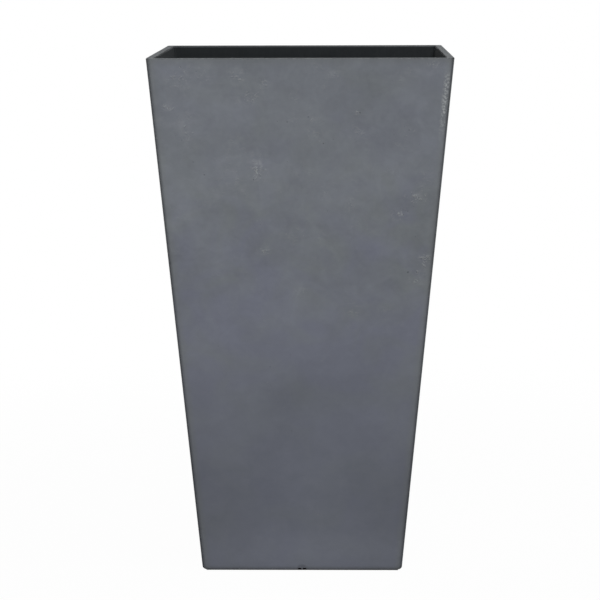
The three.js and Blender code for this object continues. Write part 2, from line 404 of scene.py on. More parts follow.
def small_marks(board, spot, gritty):
    """Marks that lie in the shell's groups and, fainter, in patches of a noise that grow denser upwards.

    Pale crumbs, specks, dust, strokes, chips and smudges, dark pores, and creases painted as if lit from
    above: a painted highlight with a painted shadow below it. Returns the pale share with the painted
    highlights, the dark share with the painted shadows, and how much the marks stand proud.
    """
    place = spot.place
    group = board.attribute("speckled")
    upper = spot.z.rising(0.12, 0.60)
    gathered = board.noise(place, 24.0).rising(0.50, 0.70) * upper
    sparse = board.noise(place, 130.0).rising(0.46, 0.60)
    crumbs = board.noise(place, 330.0, roughness=0.6).rising(0.60, 0.68) * group * sparse
    specks = speckle(board, place, 260.0, 0.05, 0.30) * (gathered * 0.5 + group + 0.12)
    dust = speckle(board, place, 620.0, 0.05, 0.40) * (upper * 0.4 + group)
    drawn_out = board.stretched(place, (0.28, 0.28, 1.3))
    strokes = board.noise(drawn_out, 210.0).rising(0.58, 0.68) * (gathered * 0.35 + group)
    smudge = board.noise(place, 90.0, detail=3.0, roughness=0.6).rising(0.46, 0.66)
    smudge = smudge * (gathered * 0.4 + group)
    chips = group.rising(0.50, 1.0) * gritty.rising(0.52, 0.62)
    creased = group.rising(0.10, 0.60) + gathered * 0.30
    # Painted highlight on each crease, and a painted shadow from the same crease shifted 1.3 mm down.
    lit = creases(board, place) * creased
    shaded = creases(board, board.moved(place, (0, 0, 1.3 * MM))) * creased
    askew = board.stretched(place, (1.0, 1.0, 1.0), (0.7, 0.4, 0.2))
    pores = board.noise(askew, 520.0, detail=1.0).rising(0.66, 0.72) * group * sparse
    # The pale share holds the creases' painted highlights, and the dark share their painted shadows.
    pale = (specks * 0.4 + dust * 0.2 + crumbs * 0.35 + strokes * 0.10 + lit * 0.36 + chips * 0.30
            + smudge * 0.14)
    dark = pores * 0.5 + shaded * 0.28
    proud = specks * 0.2 + crumbs * 0.2 - pores * 0.5
    return pale, dark, proud


def shell_material(sizes, finish):
    """Cast grey face: mottled greys with painted shade and other darkening, worn edges, groups of small
    marks with painted highlights and shadows, and pinholes with painted shade.
    """
    material, board = new_material("shell_cast_grey")
    spot = ShellSpot(board, sizes)
    broad = board.noise(spot.place, 11.0, detail=3.0, roughness=0.55, distortion=0.4)
    drawn_out = board.stretched(spot.place, (1.0, 1.0, 1.3))
    cloud = board.noise(drawn_out, 34.0, detail=2.5, roughness=0.55, distortion=0.6)
    fleck = board.noise(spot.place, 150.0, detail=3.0, roughness=0.6)
    grain = board.noise(spot.place, 1100.0, roughness=0.6)
    askew = board.stretched(spot.place, (1.0, 1.0, 1.2), (0.3, 0.5, 0.1))
    patch = board.noise(askew, 26.0, detail=3.0, distortion=0.9)
    blots = patch.rising(0.54, 0.63) * 0.04 - (1 - patch.rising(0.37, 0.45)) * 0.03
    mottle = ((broad - 0.5) * 0.22 + (cloud - 0.5) * 0.24 + (fleck - 0.5) * 0.15 + (grain - 0.5) * 0.04
              + blots)
    lively = spot.z.rising(0.28, 0.50) * 0.40 + 0.60
    # Tone: stained patches with one patch of painted light, mottle, and painted shade with other darkening.
    tone = (1.0 + board.attribute("stain_and_painted_light") + mottle * lively) * shade_and_darkening(spot, sizes)
    colour = board.brighter(cast_colour(board, spot, finish), tone)

    gritty = board.noise(spot.place, 330.0, detail=3.0, roughness=0.65)
    pale_marks_and_highlights, dark_marks_and_shadows, proud = small_marks(board, spot, gritty)
    # Pale: worn edges, chalk and pale marks, with the creases' painted highlights.
    pale = (worn_edges(board, spot, gritty) + pale_marks_and_highlights + board.attribute("chalk")).clamped()
    colour = board.blend(pale, colour, rgba(finish.chalk))
    pitted = spot.rim_top * (1 - gritty.rising(0.38, 0.48)) * 0.22
    # Dark: painted shade inside the pinholes and in the dome, the creases' painted shadows, pores, and pits
    # on the rim.
    hollow = (board.attribute("pinhole") + dark_marks_and_shadows + pitted).clamped()
    colour = board.blend(hollow, colour, rgba(finish.pinhole))

    height = cloud * 0.35 + fleck * 0.45 + grain * 0.30 + proud
    normal = board.bump(height, 0.30 * MM, 0.5)
    roughness = (0.82 + (fleck - 0.5) * 0.25 + pale * 0.12).clamped()
    board.surface(board.node("ShaderNodeBsdfPrincipled", {}, {
        "Base Color": colour, "Roughness": roughness, "Specular IOR Level": 0.06, "Normal": normal}))
    return material


def lining_material(finish):
    """Near-black coat over strands that lie four ways, with a little dust low down."""
    material, board = new_material("lining_black_coat")
    place = board.object_place()
    z = board.split(place)[2]
    strands = 0
    for turn in (20, 75, 130, 165):
        angles = (math.radians(turn * 0.6), math.radians(turn), 0.0)
        laid = board.stretched(place, (1.0, 1.0, 0.07), angles)
        ridge = 1 - abs(board.noise(laid, 150.0, detail=1.0, roughness=0.4) - 0.5).rising(0.0, 0.05)
        strands = ridge * 0.5 + strands
    lumps = board.noise(place, 45.0, detail=3.0, roughness=0.55)
    fine = board.noise(place, 700.0, roughness=0.6)
    tone = 1.0 + (lumps - 0.5) * 0.4 + (fine - 0.5) * 0.2 + strands * 0.05
    colour = board.brighter(rgba(finish.lining)[:3], tone)
    dust = board.noise(place, 60.0, detail=4.0, roughness=0.65).rising(0.42, 0.68)
    dust = dust * (1 - z.rising(0.02, 0.12))
    colour = board.blend(dust * 0.35, colour, rgba(finish.soil))
    normal = board.bump(lumps * 0.8 + strands * 0.25 + fine * 0.10, 0.5 * MM, 0.5)
    roughness = (0.84 + (lumps - 0.5) * 0.3 + dust * 0.1 - strands * 0.05).clamped()
    board.surface(board.node("ShaderNodeBsdfPrincipled", {}, {
        "Base Color": colour, "Roughness": roughness, "Specular IOR Level": 0.03, "Normal": normal}))
    return material


WEAVE_SPACING = 4.2 * MM


def laminate_material(finish):
    """Bare glass laminate: a plain weave that shows through dark resin."""
    material, board = new_material("panel_glass_laminate")
    place = board.object_place()
    x, y, _ = board.split(place)
    turn = 2 * math.pi / WEAVE_SPACING
    warp = board.maths("SINE", x * turn)
    weft = board.maths("SINE", y * turn)
    weave = (warp * weft * 0.5 + 0.5).clamped()
    cloud = board.noise(place, 38.0, detail=4.0, roughness=0.6)
    fine = board.noise(place, 900.0, roughness=0.6)
    tone = 0.75 + weave * 0.35 + (cloud - 0.5) * 0.9 + (fine - 0.5) * 0.3
    colour = board.brighter(rgba(finish.laminate)[:3], tone)
    normal = board.bump(weave * 0.6 + cloud * 0.4 + fine * 0.15, 0.4 * MM, 0.7)
    roughness = (0.55 + (cloud - 0.5) * 0.5).clamped()
    board.surface(board.node("ShaderNodeBsdfPrincipled", {}, {
        "Base Color": colour, "Roughness": roughness, "Specular IOR Level": 0.4, "Normal": normal}))
    return material


def rubber_material(name, finish):
    """Black moulded rubber with a pale bloom and a fine matt grain."""
    material, board = new_material(name)
    place = board.object_place()
    bloom = board.noise(place, 90.0, detail=4.0, roughness=0.65).rising(0.45, 0.75)
    grain = board.noise(place, 1600.0, roughness=0.6)
    tone = 1.0 + bloom * 1.1 + (grain - 0.5) * 0.5
    colour = board.brighter(rgba(finish.rubber)[:3], tone)
    normal = board.bump(grain * 0.6 + bloom * 0.2, 0.12 * MM, 0.6)
    roughness = (0.62 + bloom * 0.2 + (grain - 0.5) * 0.1).clamped()
    board.surface(board.node("ShaderNodeBsdfPrincipled", {}, {
        "Base Color": colour, "Roughness": roughness, "Specular IOR Level": 0.4, "Normal": normal}))
    return material


# Surfaces

def wall_half(sizes, z):
    """Half of the outer width at a height: the base's half plus its even growth up to the rim's."""
    return (sizes.base_width + (sizes.top_width - sizes.base_width) * np.asarray(z) / sizes.height) / 2


def wall_lean(sizes):
    """Angle that the walls lean outwards from upright."""
    return math.atan2((sizes.top_width - sizes.base_width) / 2, sizes.height)


def arc(centre_half, centre_z, radius, start, stop, steps):
    """A round edge in the profile's plane: the centre plus radius times (cosine, sine) of each angle."""
    angle = np.linspace(start, stop, steps + 1)
    return np.stack([centre_half + radius * np.cos(angle), centre_z + radius * np.sin(angle)], 1)


# Turns that take the front side to the front, right, back and left sides.
TURNS = [np.array([[math.cos(a), -math.sin(a)], [math.sin(a), math.cos(a)]])
         for a in np.arange(4) * math.pi / 2]


def quarter_turned(front):
    """A front side's 2-D rows followed by the same rows turned to the right, back and left sides."""
    return np.round(np.concatenate([front @ turn.T for turn in TURNS]), 12)


CORNER_NUDGE = 0.04


class Columns:
    """Upright lines of a rounded square section, counter-clockwise from above, starting at the front left.

    Each has a place on a square of half-width 1 and an outward direction. Its point on a section is
    (half - corner) times the place plus corner times the direction: a square and a disc added together.
    """

    def __init__(self, stops):
        turn = np.arange(1, CORNER_STEPS) / CORNER_STEPS * math.pi / 2 - math.pi / 2
        flats = np.stack([stops, -np.ones_like(stops)], 1)
        ends = np.tile([1.0, -1.0], (len(turn), 1))
        self.square = quarter_turned(np.concatenate([flats, ends]))
        straight = np.tile([0.0, -1.0], (len(stops), 1))
        rounded = np.stack([np.cos(turn), np.sin(turn)], 1)
        self.outward = quarter_turned(np.concatenate([straight, rounded]))
        self.stop = np.tile(np.concatenate([stops, np.full(len(turn), np.nan)]), 4)

    def carried(self, half, z, corner, roundness=0.0):
        """Rows of a profile carried round the section: an array of rows by columns by 3.

        Where roundness is 1 the row is a circle of radius half, and between 0 and 1 a mixture. The places
        lie round the circle by their own direction, nudged outwards so that a corner's stay apart.
        """
        half, z, corner, roundness = (
            np.broadcast_to(v, np.shape(half))[:, None, None] for v in (half, z, corner, roundness))
        squared = (half - corner) * self.square + corner * self.outward
        radial = self.square + CORNER_NUDGE * self.outward
        radial = radial / np.linalg.norm(radial, axis=1, keepdims=True)
        level = (1 - roundness) * squared + roundness * half * radial
        upright = np.broadcast_to(z, level.shape[:2] + (1,))
        return np.concatenate([level, upright], 2)


def band(lower, upper):
    """Four-sided faces between two closed rows of vertex numbers, seen from outside with upper on top."""
    return np.stack([lower, np.roll(lower, -1), np.roll(upper, -1), upper], -1).reshape(-1, 4)


def bands(rows):
    """Faces between each row of vertex numbers and the next."""
    lower, upper = rows[:-1], rows[1:]
    return np.stack([lower, np.roll(lower, -1, 1), np.roll(upper, -1, 1), upper], -1).reshape(-1, 4)


def numbered(points, first=0):
    """Vertex numbers in the shape of a grid of points."""
    return first + np.arange(points.shape[0] * points.shape[1]).reshape(points.shape[:2])


SHARP_ANGLE = math.radians(35)


def new_piece(name, points, faces, material, body, replaced, attributes=None):
    """A mesh in place from whole arrays, smooth except at edges sharper than the sharp angle."""
    mesh = bpy.data.meshes.new(name)
    mesh.from_pydata(points, [], faces)
    mesh.validate()
    mesh.shade_smooth()
    mesh.set_sharp_from_angle(angle=SHARP_ANGLE)
    for key, values in (attributes or {}).items():
        mesh.attributes.new(key, "FLOAT", "POINT").data.foreach_set("value", np.asarray(values, np.float32))
    mesh.materials.append(material)
    piece = bpy.data.objects.new(name, mesh)
    bpy.context.scene.collection.objects.link(piece)
    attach(piece, body)
    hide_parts(*replaced)


def lathe(profile, steps):
    """Points of a profile of (radius, height) turned round +Z: rows by steps by 3."""
    turn = np.arange(steps) / steps * 2 * math.pi
    radius, z = profile[:, :1], profile[:, 1:]
    return np.stack([radius * np.cos(turn), radius * np.sin(turn), z + 0 * turn], 2)


def capped(points, low, high):
    """A closed solid from rows of points: bands, and a fan of triangles to a middle point at each end."""
    rows = numbered(points)
    flat = points.reshape(-1, 3)
    count = len(flat)
    faces = bands(rows).tolist()
    faces += [[a, count, b] for a, b in zip(rows[0], np.roll(rows[0], -1))]
    faces += [[a, b, count + 1] for a, b in zip(rows[-1], np.roll(rows[-1], -1))]
    return np.concatenate([flat, [low, high]]), faces


# The shell

WEEP_HALF_WIDTH = 2.8 * MM
WEEP_HEIGHT = 3.7 * MM
WEEP_SPACING = 6.8 * MM
WEEP_COLUMNS = 15
DOME_HALF_WIDTH = 7.2 * MM
DOME_HALF_HEIGHT = 5.4 * MM
DOME_DEPTH = 1.1 * MM
DOME_RISE = 3.7 * MM
DOME_SHADE = 0.30
FOOT_BAND_TOP = 13 * MM
FLANGE_THICKNESS = 10 * MM
FLANGE_CHAMFER = 0.4 * MM
SHELL_HOLLOWS = 0.15 * MM
PAD_OFFSET = sum(corner.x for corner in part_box("foot_pad_back_right")) / 2
PAD_POCKET_RADIUS = 9.3 * MM
PAD_POCKET_TOP = 3.3 * MM
PAD_POCKET_STEPS = 48
PAD_POCKET_REACH = 0.22


def foot_stops(sizes):
    """Column places in the foot band: those of the wall, with finer ones across the slots and the dome."""
    half = float(wall_half(sizes, 0)) - sizes.edge_radius
    turn = np.linspace(0, math.pi, WEEP_COLUMNS)
    slot = WEEP_SPACING / 2 + WEEP_HALF_WIDTH * np.cos(turn)
    dome = DOME_HALF_WIDTH * np.array([1.0, 0.985, 0.95, 0.9])
    fine = np.concatenate([slot, -slot, dome, -dome, [0.0]]) / half
    wall = wall_stops()
    clear = wall[np.abs(wall) > DOME_HALF_WIDTH / half + 1e-3]
    return np.unique(np.round(np.concatenate([fine, clear]), 9))


END_CELL = 0.005


def wall_stops():
    """Column places on a flat side, even apart from a narrow cell at each end that keeps the side flat."""
    even = np.linspace(-1, 1, FLAT_CELLS + 1)
    near_end = 1 - END_CELL
    return np.sort(np.concatenate([even, [-near_end, near_end]]))


# Waves along a side, up it, and from one side to the next, in radians.
HOLLOW_WAVES = ((3.1, 7.3, 1.7), (5.3, -4.9, 2.9), (2.2, 13.7, 0.6))


def waviness(columns, z, sizes, depth):
    """Slight hollows of a cast face: broad sine waves along and up each side.

    They are depth times 0 to 1 deep, and fade to 0 at the rim, the foot and the upright edges.
    """
    along = np.nan_to_num(columns.stop, nan=1.0)
    side = np.arange(len(along)) * 4 // len(along)
    z = np.asarray(z)[:, None] / sizes.height
    waves = sum(np.sin(a * along + u * z + s * side) for a, u, s in HOLLOW_WAVES)
    fade = np.clip((1 - np.abs(along)) * 6, 0, 1) * np.clip((1 - z) * 10, 0, 1) * np.clip(z * 12, 0, 1)
    return depth * (0.5 + waves / 6) * fade


def foot_profile(sizes):
    """Foot band, from the flange's inner edge under and round the bottom edge to the lower wall.

    Returns the half widths, heights and corner radii, and where the bottom edge's rounding starts.
    """
    standoff = SHELL_BOX[0].z
    lean = wall_lean(sizes)
    radius = sizes.edge_radius
    centre_z = standoff + radius
    centre = float(wall_half(sizes, centre_z)) - radius / math.cos(lean)
    flange = np.array([[sizes.flange_inner_half, standoff + FLANGE_THICKNESS],
                       [sizes.flange_inner_half, standoff + FLANGE_CHAMFER],
                       [sizes.flange_inner_half + FLANGE_CHAMFER, standoff]])
    rounding = arc(centre, centre_z, radius, -math.pi / 2, -lean, 14)
    wall_z = np.linspace(rounding[-1, 1], FOOT_BAND_TOP, 9)[1:]
    wall = np.stack([wall_half(sizes, wall_z), wall_z], 1)
    rows = np.concatenate([flange, rounding, wall])
    corner = np.full(len(rows), sizes.edge_radius)
    corner[:len(flange)] = sizes.inner_corner
    return rows[:, 0], rows[:, 1], corner, len(flange)


# How far below the rim's rounding the last even row lies, and the row that keeps the wall flat above it.
ROWS_BELOW_RIM = (2 * MM, 0.6 * MM)
RIM_CELLS = 5


def body_profile(sizes):
    """The rest of the shell: up the outside, over the rim, under the lip and down the inside.

    Returns the half widths, heights and corner radii, and how many rows the flat outside has.
    """
    lean = wall_lean(sizes)
    top = sizes.height
    turn = sizes.rim_rounding
    rim_z = top - turn
    outer_centre = float(wall_half(sizes, rim_z)) - turn / math.cos(lean)
    inner_centre = float(wall_half(sizes, top)) - sizes.rim_width + turn
    last_even, last = (rim_z - below for below in ROWS_BELOW_RIM)
    count = round((last_even - FOOT_BAND_TOP) / ROW_SPACING)
    outside_z = np.append(np.linspace(FOOT_BAND_TOP, last_even, count + 1)[1:], last)
    outside = np.stack([wall_half(sizes, outside_z), outside_z], 1)
    outer_edge = arc(outer_centre, rim_z, turn, -lean, math.pi / 2, 6)
    inner_edge = arc(inner_centre, rim_z, turn, math.pi / 2, math.pi + lean, 6)
    rim = np.linspace(outer_edge[-1], inner_edge[0], RIM_CELLS + 1)[1:-1]
    lip_z = top - sizes.lip_depth
    back_z = SHELL_BOX[0].z + FLANGE_THICKNESS
    lip = np.array([[wall_half(sizes, lip_z) - sizes.rim_width, lip_z],
                    [wall_half(sizes, lip_z) - sizes.wall, lip_z],
                    [wall_half(sizes, back_z) - sizes.wall, back_z]])
    rows = np.concatenate([outside, outer_edge, rim, inner_edge, lip])
    outer_count = len(outside) + len(outer_edge)
    corner = np.full(len(rows), sizes.inner_corner)
    corner[:outer_count] = sizes.edge_radius
    corner[outer_count:outer_count + len(rim)] = np.linspace(
        sizes.edge_radius, sizes.inner_corner, RIM_CELLS + 1)[1:-1]
    return rows[:, 0], rows[:, 1], corner, len(outside)


def notched(points, columns, sizes, outer_from):
    """The foot band with a shallow dome in each side's middle, and two arched slots under it.

    The dome sets the outer face back by depth times the root of 1 - r squared, r being the distance
    from its middle over its half sizes. A slot's ceiling is a flattened arch, its height times the root
    of 1 - a to the fourth, a being the distance from the slot's middle over its half width. Every lower
    point of the slot's columns rises to it. Returns the points, and how deep each lies in a dome.
    """
    along = points[..., 0] * columns.outward[:, 1] * -1 + points[..., 1] * columns.outward[:, 0]
    z = points[..., 2]
    flat = ~np.isnan(columns.stop)
    out = points[..., 0] * columns.outward[:, 0] + points[..., 1] * columns.outward[:, 1]
    r_squared = (along / DOME_HALF_WIDTH) ** 2 + ((z - DOME_RISE) / DOME_HALF_HEIGHT) ** 2
    dome = DOME_DEPTH * np.sqrt(np.clip(1 - r_squared, 0, 1))
    back = np.minimum(0, wall_half(sizes, z) - dome - out)
    back[:outer_from] = 0
    points[..., :2] += np.where(flat, back, 0)[..., None] * columns.outward
    across = (np.abs(along) - WEEP_SPACING / 2) / WEEP_HALF_WIDTH
    ceiling = SHELL_BOX[0].z + WEEP_HEIGHT * np.sqrt(np.clip(1 - across ** 4, 0, None))
    points[..., 2] = np.where(flat, np.maximum(z, ceiling), z)
    return points, np.where(flat, dome / DOME_DEPTH, 0)


def fans(fine, coarse, kept, fine_below):
    """Faces between a fine row and a coarse one whose places are the fine row's kept ones."""
    faces = []
    count = len(fine)
    for j in range(len(coarse)):
        start, stop = kept[j], kept[(j + 1) % len(kept)]
        stop = stop if stop > start else stop + count
        run = [int(fine[k % count]) for k in range(start, stop + 1)]
        pair = [int(coarse[(j + 1) % len(coarse)]), int(coarse[j])]
        faces.append(run + pair if fine_below else (run + pair)[::-1])
    return faces


# A pinhole's rings, outermost first: their sizes in radii, their depths, and their shade and chalk.
PINHOLE_STEPS = 8
PINHOLE_RINGS = np.array([1.7, 1.1, 0.85, 0.5])
PINHOLE_DEPTHS = np.array([0.0, 0.08, 0.65, 0.95])
PINHOLE_SHADE = np.array([0.0, 0.45, 1.0, 1.0])
PINHOLE_CHALK = np.array([0.0, 1.0, 0.5, 0.2])
PINHOLE_RADIUS = 0.45 * MM
PINHOLE_SMALLEST, PINHOLE_LARGEST = 0.25 * MM, 0.8 * MM

# A cell's chance of a pinhole: low down, added in the upper half, and added inside a group of marks.
CHANCE_LOW, CHANCE_UPPER, CHANCE_GROUPED = 0.002, 0.008, 0.3

# Marks on the front: across, up, half width and half height in metres, and strength.
FRONT_GROUPS = [
    (-0.158, 0.683, 0.014, 0.012, 0.55), (-0.083, 0.686, 0.006, 0.007, 0.9),
    (-0.047, 0.677, 0.005, 0.005, 1.0), (-0.067, 0.660, 0.008, 0.006, 0.8),
    (-0.174, 0.646, 0.006, 0.005, 1.0), (-0.150, 0.614, 0.009, 0.011, 0.6),
    (-0.016, 0.629, 0.009, 0.005, 0.4), (0.017, 0.631, 0.007, 0.004, 0.45),
    (0.025, 0.605, 0.009, 0.006, 0.4), (0.075, 0.641, 0.005, 0.004, 0.6),
    (0.144, 0.615, 0.005, 0.009, 0.7), (-0.055, 0.567, 0.007, 0.014, 0.9),
    (-0.011, 0.565, 0.008, 0.009, 0.25), (0.065, 0.517, 0.005, 0.005, 1.0),
    (0.155, 0.525, 0.011, 0.006, 0.9), (0.133, 0.503, 0.008, 0.004, 1.0),
    (0.166, 0.441, 0.005, 0.006, 1.0), (0.156, 0.417, 0.009, 0.012, 0.5),
    (-0.048, 0.452, 0.005, 0.004, 0.8), (0.025, 0.471, 0.006, 0.005, 0.6),
    (-0.060, 0.491, 0.005, 0.005, 0.5), (0.035, 0.529, 0.006, 0.006, 0.45),
    (-0.025, 0.538, 0.006, 0.004, 0.5), (0.046, 0.690, 0.005, 0.004, 0.9),
    (0.175, 0.703, 0.005, 0.004, 0.9), (0.120, 0.561, 0.010, 0.007, 0.3),
    (-0.001, 0.399, 0.005, 0.007, 0.6), (0.069, 0.370, 0.005, 0.004, 0.8),
    (0.113, 0.375, 0.005, 0.004, 0.8), (-0.094, 0.549, 0.012, 0.004, 0.5),
    (-0.127, 0.516, 0.010, 0.005, 0.3), (-0.008, 0.660, 0.005, 0.005, 0.6),
]
# Lighter and darker patches of the front's tone: across, up, half width and half height in metres, and
# strength. The last is painted light.
FRONT_STAINS_AND_PAINTED_LIGHT = [
    (-0.165, 0.690, 0.030, 0.030, 0.075), (-0.155, 0.612, 0.026, 0.024, 0.06),
    (-0.155, 0.520, 0.040, 0.030, 0.08), (-0.125, 0.425, 0.045, 0.035, 0.05),
    (-0.128, 0.300, 0.034, 0.036, 0.05), (-0.118, 0.185, 0.030, 0.025, 0.04),
    (0.045, 0.690, 0.034, 0.018, -0.05), (0.080, 0.650, 0.030, 0.030, -0.055),
    (0.165, 0.690, 0.026, 0.026, 0.05), (-0.030, 0.640, 0.055, 0.014, 0.05),
    (-0.008, 0.597, 0.045, 0.012, -0.03), (0.095, 0.590, 0.030, 0.026, -0.02),
    (0.045, 0.522, 0.034, 0.022, 0.045), (0.165, 0.475, 0.022, 0.026, -0.07),
    (0.115, 0.540, 0.020, 0.014, 0.04), (0.070, 0.410, 0.034, 0.030, -0.05),
    (-0.025, 0.362, 0.060, 0.020, 0.05), (-0.028, 0.245, 0.020, 0.018, -0.075),
    (0.030, 0.270, 0.030, 0.012, -0.04), (0.130, 0.205, 0.026, 0.030, 0.06),
    (-0.060, 0.460, 0.022, 0.026, -0.03), (0.000, 0.200, 0.040, 0.022, -0.03),
    (0.090, 0.300, 0.030, 0.022, -0.03), (-0.060, 0.120, 0.040, 0.016, -0.025),
    (0.000, 0.575, 0.140, 0.025, 0.035), (0.000, 0.254, 0.120, 0.018, -0.03),
    # Painted light: the bottom middle lighter than the bottom corners, as if lit by the floor.
    (0.000, 0.018, 0.130, 0.014, 0.03),
]


def all_round(front, sizes, random):
    """Marks on the four sides: the front's own, and on each other side the same marks in other places."""
    middles, half_sizes, strengths = [], [], []
    for side, turn in enumerate(TURNS):
        across, up, half_width, half_height, strength = np.array(front).T
        if side:
            up = np.clip(up + random.normal(0, 0.04, len(up)), 0.03, sizes.height - 0.01)
            across = random.uniform(-0.92, 0.92, len(up)) * wall_half(sizes, up)
        level = np.stack([across, -wall_half(sizes, up)], 1) @ turn.T
        middles.append(np.column_stack([level, up]))
        half_sizes.append(np.column_stack([half_width, half_width, half_height]))
        strengths.append(strength)
    return np.concatenate(middles), np.concatenate(half_sizes), np.concatenate(strengths)


def strength_at(points, marks):
    """Sum over the marks of strength times e to the minus half the square of the distance in half sizes."""
    middles, half_sizes, strengths = marks
    apart = (points[..., None, :] - middles) / half_sizes
    return (strengths * np.exp(-(apart ** 2).sum(-1) / 2)).sum(-1)


def pinhole_cells(sizes, points, columns, groups, random):
    """Cells of the outer wall that hold a pinhole, more of them higher up and in groups."""
    rows, count = points.shape[0] - 1, points.shape[1]
    flat = np.isfinite(columns.stop) & np.isfinite(np.roll(columns.stop, -1))
    wide = np.abs(np.roll(columns.stop, -1) - columns.stop) > 1 / FLAT_CELLS
    middle = (points[:-1] + np.roll(points, -1, 1)[:-1] + points[1:] + np.roll(points, -1, 1)[1:]) / 4
    z = middle[..., 2]
    upper = np.clip((z - 0.15) / 0.45, 0, 1)
    chance = CHANCE_LOW + CHANCE_UPPER * upper + CHANCE_GROUPED * strength_at(middle, groups)
    chosen = (random.random((rows, count)) < chance) & (flat & wide)[None, :]
    chosen[0] = False
    chosen[z > sizes.height - 8 * MM] = False
    return np.argwhere(chosen), chosen


def pinhole_patches(points, ids, cells, random, first):
    """A small pit in each chosen cell of the wall: a ring patch round it, and rings that go down.

    A ring point is the cell's bilinear point at the middle plus ring times radius times (cosine, sine),
    set back along the cell's normal by its depth. The radius wavers twice and three times round. Each
    pit has a crescent of chalk on one side of its edge. Returns points, faces, shade and chalk.
    """
    row, column = cells.T
    after = (column + 1) % points.shape[1]
    corners = np.stack([points[row, column], points[row, after],
                        points[row + 1, after], points[row + 1, column]], 1)
    corner_ids = np.stack([ids[row, column], ids[row, after], ids[row + 1, after], ids[row + 1, column]], 1)
    across, up = corners[:, 1] - corners[:, 0], corners[:, 3] - corners[:, 0]
    normal = np.cross(across, up)
    normal /= np.linalg.norm(normal, axis=1, keepdims=True)
    width = np.linalg.norm(across, axis=1)[:, None, None]
    tall = np.linalg.norm(up, axis=1)[:, None, None]
    count = len(cells)
    radius = random.lognormal(math.log(PINHOLE_RADIUS), 0.35, count)
    radius = np.clip(radius, PINHOLE_SMALLEST, PINHOLE_LARGEST)
    turn = np.arange(PINHOLE_STEPS) / PINHOLE_STEPS * 2 * math.pi
    phase = random.random((2, count, 1)) * 2 * math.pi
    waver = 1 + 0.16 * np.cos(2 * turn + phase[0]) + 0.09 * np.cos(3 * turn + phase[1])
    reach = radius[:, None, None] * PINHOLE_RINGS[None, :, None] * waver[:, None, :]
    middle = 0.5 + (random.random((2, count, 1, 1)) - 0.5) * 0.24
    u = middle[0] + reach * np.cos(turn) / width
    v = middle[1] + reach * np.sin(turn) / tall
    deep = radius * random.uniform(0.35, 1.0, count)

    def on_cell(u, v, depth):
        u, v = u[..., None], v[..., None]
        low = corners[:, None, None, 0] * (1 - u) + corners[:, None, None, 1] * u
        high = corners[:, None, None, 3] * (1 - u) + corners[:, None, None, 2] * u
        return low * (1 - v) + high * v - normal[:, None, None] * depth[..., None]

    depth = np.broadcast_to(deep[:, None, None] * PINHOLE_DEPTHS[None, :, None], u.shape)
    rings = on_cell(u, v, depth)
    pole = on_cell(middle[0], middle[1], deep[:, None, None])
    patch = np.concatenate([rings.reshape(count, -1, 3), pole.reshape(count, 1, 3)], 1)
    size = patch.shape[1]
    base = first + np.arange(count)[:, None] * size
    ring_ids = (base + np.arange(size - 1)).reshape(count, len(PINHOLE_RINGS), PINHOLE_STEPS)
    pole_ids = base[:, 0] + size - 1

    quarter = PINHOLE_STEPS // 4
    quads = np.stack([ring_ids[:, :-1], np.roll(ring_ids[:, :-1], -1, 2),
                      np.roll(ring_ids[:, 1:], -1, 2), ring_ids[:, 1:]], -1).reshape(-1, 4)
    outer, inner = ring_ids[:, 0], ring_ids[:, -1]
    step = np.arange(PINHOLE_STEPS)
    owner = np.array([2, 3, 0, 1])[step // quarter]
    spokes = np.stack([corner_ids[:, owner], np.roll(outer, -1, 1), outer], -1).reshape(-1, 3)
    sides = np.stack([corner_ids[:, [2, 3, 0, 1]], corner_ids[:, [3, 0, 1, 2]],
                      outer[:, [quarter, 2 * quarter, 3 * quarter, 0]]], -1).reshape(-1, 3)
    bottoms = np.stack([inner, np.roll(inner, -1, 1), np.broadcast_to(pole_ids[:, None], inner.shape)],
                       -1).reshape(-1, 3)
    faces = quads.tolist() + spokes.tolist() + sides.tolist() + bottoms.tolist()

    chalky = np.clip(random.random((count, 1, 1)) * 1.5 - 0.3, 0, 0.9)
    dark = random.uniform(0.4, 1.0, (count, 1, 1))
    crescent = 0.5 + 0.5 * np.cos(turn + phase[0][:, None])
    shade = np.broadcast_to(dark * PINHOLE_SHADE[None, :, None], u.shape).reshape(count, -1)
    chalk = (chalky * crescent * PINHOLE_CHALK[None, :, None]).reshape(count, -1)
    shade = np.column_stack([shade, dark[:, 0, 0]]).ravel()
    chalk = np.column_stack([chalk, np.zeros(count)]).ravel()
    return patch.reshape(-1, 3), faces, shade, chalk


def zipped(outer_ids, outer_angle, inner_ids, inner_angle):
    """Triangles between two loops round one centre, sorted by angle.

    Each outer edge is joined to the last inner point before its end, and each inner edge to the last
    outer point before its end.
    """
    outer_end, inner_end = np.roll(outer_angle, -1), np.roll(inner_angle, -1)
    outer_end[-1] += 2 * math.pi
    inner_end[-1] += 2 * math.pi
    inner_laps = np.concatenate([inner_angle - 2 * math.pi, inner_angle, inner_angle + 2 * math.pi])
    outer_laps = np.concatenate([outer_angle - 2 * math.pi, outer_angle, outer_angle + 2 * math.pi])
    to_inner = (np.searchsorted(inner_laps, outer_end, side="right") - 1) % len(inner_ids)
    to_outer = (np.searchsorted(outer_laps, inner_end, side="left") - 1) % len(outer_ids)
    from_outer = np.stack([outer_ids, np.roll(outer_ids, -1), inner_ids[to_inner]], 1)
    from_inner = np.stack([np.roll(inner_ids, -1), inner_ids, outer_ids[to_outer]], 1)
    return from_outer.tolist() + from_inner.tolist()


